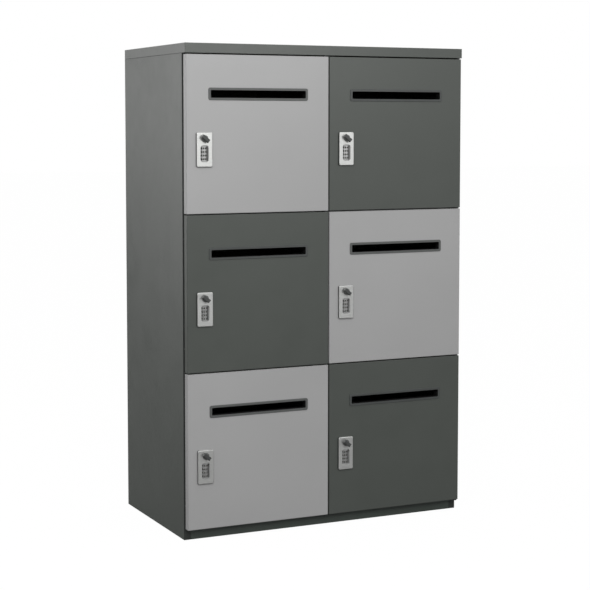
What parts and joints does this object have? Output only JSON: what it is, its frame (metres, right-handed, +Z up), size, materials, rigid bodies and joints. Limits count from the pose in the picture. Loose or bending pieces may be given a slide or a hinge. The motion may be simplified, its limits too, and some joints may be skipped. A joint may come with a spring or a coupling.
{
  "type": "mail locker cabinet",
  "caption": "Floor-standing mail locker cabinet of grey board, with hinged doors, letter slots in plastic bezels and combination locks with a turn knob.",
  "frame": {"origin": "on the floor, at the middle of the outline seen from above, knobs included", "axes": "+X to the right seen from the front, +Y from the doors to the back, +Z up"},
  "size_m": [0.8, 0.4672, 1.26],
  "materials": {
    "carcass_board": "dark grey melamine facing, fine satin grain",
    "plinth_board": "graphite melamine facing, satin",
    "light_door_board": "light grey melamine facing, satin",
    "dark_door_board": "graphite grey melamine facing, satin",
    "bezel_plastic": "moulded, fine matt texture",
    "lock_metal": "satin nickel plated zinc casting",
    "knob_plastic": "moulded, satin",
    "dial_plastic": "black with white numerals",
    "zinc_steel": "bright zinc plated",
    "black_steel": "black passivated steel",
    "nylon": "natural nylon",
    "beech": "bare fluted beech",
    "clear_rubber": "soft translucent buffers"
  },
  "bodies": {
    "cabinet": {"side_panel_left": "carcass_board", "side_panel_right": "carcass_board", "centre_partition": "carcass_board", "top_panel": "carcass_board", "bottom_panel": "carcass_board", "back_panel": "carcass_board", "plinth_front_rail": "plinth_board", "plinth_back_rail": "plinth_board", "shelf_left_lower": "carcass_board", "shelf_left_upper": "carcass_board", "shelf_right_lower": "carcass_board", "shelf_right_upper": "carcass_board", "dowels": "beech", "wood_screws": "zinc_steel", "pivot_brackets": "black_steel", "pivot_pins": "black_steel", "keepers": "zinc_steel", "door_buffers": "clear_rubber"},
    "door_left_bottom": {"door_panel_left_bottom": "light_door_board", "slot_bezel_left_bottom": "bezel_plastic", "lock_case_left_bottom": "lock_metal", "pivot_bushes_left_bottom": "nylon"},
    "knob_left_bottom": {"lock_knob_left_bottom": "knob_plastic", "lock_cam_left_bottom": "zinc_steel"},
    "dials_left_bottom": {"number_dials_left_bottom": "dial_plastic"},
    "door_left_middle": {"door_panel_left_middle": "dark_door_board", "slot_bezel_left_middle": "bezel_plastic", "lock_case_left_middle": "lock_metal", "pivot_bushes_left_middle": "nylon"},
    "knob_left_middle": {"lock_knob_left_middle": "knob_plastic", "lock_cam_left_middle": "zinc_steel"},
    "dials_left_middle": {"number_dials_left_middle": "dial_plastic"},
    "door_left_top": {"door_panel_left_top": "light_door_board", "slot_bezel_left_top": "bezel_plastic", "lock_case_left_top": "lock_metal", "pivot_bushes_left_top": "nylon"},
    "knob_left_top": {"lock_knob_left_top": "knob_plastic", "lock_cam_left_top": "zinc_steel"},
    "dials_left_top": {"number_dials_left_top": "dial_plastic"},
    "door_right_bottom": {"door_panel_right_bottom": "dark_door_board", "slot_bezel_right_bottom": "bezel_plastic", "lock_case_right_bottom": "lock_metal", "pivot_bushes_right_bottom": "nylon"},
    "knob_right_bottom": {"lock_knob_right_bottom": "knob_plastic", "lock_cam_right_bottom": "zinc_steel"},
    "dials_right_bottom": {"number_dials_right_bottom": "dial_plastic"},
    "door_right_middle": {"door_panel_right_middle": "light_door_board", "slot_bezel_right_middle": "bezel_plastic", "lock_case_right_middle": "lock_metal", "pivot_bushes_right_middle": "nylon"},
    "knob_right_middle": {"lock_knob_right_middle": "knob_plastic", "lock_cam_right_middle": "zinc_steel"},
    "dials_right_middle": {"number_dials_right_middle": "dial_plastic"},
    "door_right_top": {"door_panel_right_top": "dark_door_board", "slot_bezel_right_top": "bezel_plastic", "lock_case_right_top": "lock_metal", "pivot_bushes_right_top": "nylon"},
    "knob_right_top": {"lock_knob_right_top": "knob_plastic", "lock_cam_right_top": "zinc_steel"},
    "dials_right_top": {"number_dials_right_top": "dial_plastic"}
  },
  "joints": [
    {"name": "door_left_bottom_hinge", "type": "hinge", "parent": "cabinet", "child": "door_left_bottom", "pos_m": [-0.0075, -0.21085, 0.2285], "axis": [0, 0, 1], "range_deg": [0, 110]},
    {"name": "knob_left_bottom_turn", "type": "hinge", "parent": "door_left_bottom", "child": "knob_left_bottom", "pos_m": [-0.3505, -0.21635, 0.218], "axis": [0, 1, 0], "range_deg": [0, 90]},
    {"name": "dials_left_bottom_spin", "type": "hinge", "parent": "door_left_bottom", "child": "dials_left_bottom", "pos_m": [-0.3505, -0.21275, 0.18], "axis": [0, 0, 1], "continuous": true},
    {"name": "door_left_middle_hinge", "type": "hinge", "parent": "cabinet", "child": "door_left_middle", "pos_m": [-0.0075, -0.21085, 0.6305], "axis": [0, 0, 1], "range_deg": [0, 110]},
    {"name": "knob_left_middle_turn", "type": "hinge", "parent": "door_left_middle", "child": "knob_left_middle", "pos_m": [-0.3505, -0.21635, 0.62], "axis": [0, 1, 0], "range_deg": [0, 90]},
    {"name": "dials_left_middle_spin", "type": "hinge", "parent": "door_left_middle", "child": "dials_left_middle", "pos_m": [-0.3505, -0.21275, 0.582], "axis": [0, 0, 1], "continuous": true},
    {"name": "door_left_top_hinge", "type": "hinge", "parent": "cabinet", "child": "door_left_top", "pos_m": [-0.0075, -0.21085, 1.0325], "axis": [0, 0, 1], "range_deg": [0, 110]},
    {"name": "knob_left_top_turn", "type": "hinge", "parent": "door_left_top", "child": "knob_left_top", "pos_m": [-0.3505, -0.21635, 1.022], "axis": [0, 1, 0], "range_deg": [0, 90]},
    {"name": "dials_left_top_spin", "type": "hinge", "parent": "door_left_top", "child": "dials_left_top", "pos_m": [-0.3505, -0.21275, 0.984], "axis": [0, 0, 1], "continuous": true},
    {"name": "door_right_bottom_hinge", "type": "hinge", "parent": "cabinet", "child": "door_right_bottom", "pos_m": [0.3915, -0.21085, 0.2285], "axis": [0, 0, 1], "range_deg": [0, 110]},
    {"name": "knob_right_bottom_turn", "type": "hinge", "parent": "door_right_bottom", "child": "knob_right_bottom", "pos_m": [0.0485, -0.21635, 0.218], "axis": [0, 1, 0], "range_deg": [0, 90]},
    {"name": "dials_right_bottom_spin", "type": "hinge", "parent": "door_right_bottom", "child": "dials_right_bottom", "pos_m": [0.0485, -0.21275, 0.18], "axis": [0, 0, 1], "continuous": true},
    {"name": "door_right_middle_hinge", "type": "hinge", "parent": "cabinet", "child": "door_right_middle", "pos_m": [0.3915, -0.21085, 0.6305], "axis": [0, 0, 1], "range_deg": [0, 110]},
    {"name": "knob_right_middle_turn", "type": "hinge", "parent": "door_right_middle", "child": "knob_right_middle", "pos_m": [0.0485, -0.21635, 0.62], "axis": [0, 1, 0], "range_deg": [0, 90]},
    {"name": "dials_right_middle_spin", "type": "hinge", "parent": "door_right_middle", "child": "dials_right_middle", "pos_m": [0.0485, -0.21275, 0.582], "axis": [0, 0, 1], "continuous": true},
    {"name": "door_right_top_hinge", "type": "hinge", "parent": "cabinet", "child": "door_right_top", "pos_m": [0.3915, -0.21085, 1.0325], "axis": [0, 0, 1], "range_deg": [0, 110]},
    {"name": "knob_right_top_turn", "type": "hinge", "parent": "door_right_top", "child": "knob_right_top", "pos_m": [0.0485, -0.21635, 1.022], "axis": [0, 1, 0], "range_deg": [0, 90]},
    {"name": "dials_right_top_spin", "type": "hinge", "parent": "door_right_top", "child": "dials_right_top", "pos_m": [0.0485, -0.21275, 0.984], "axis": [0, 0, 1], "continuous": true}
  ]
}
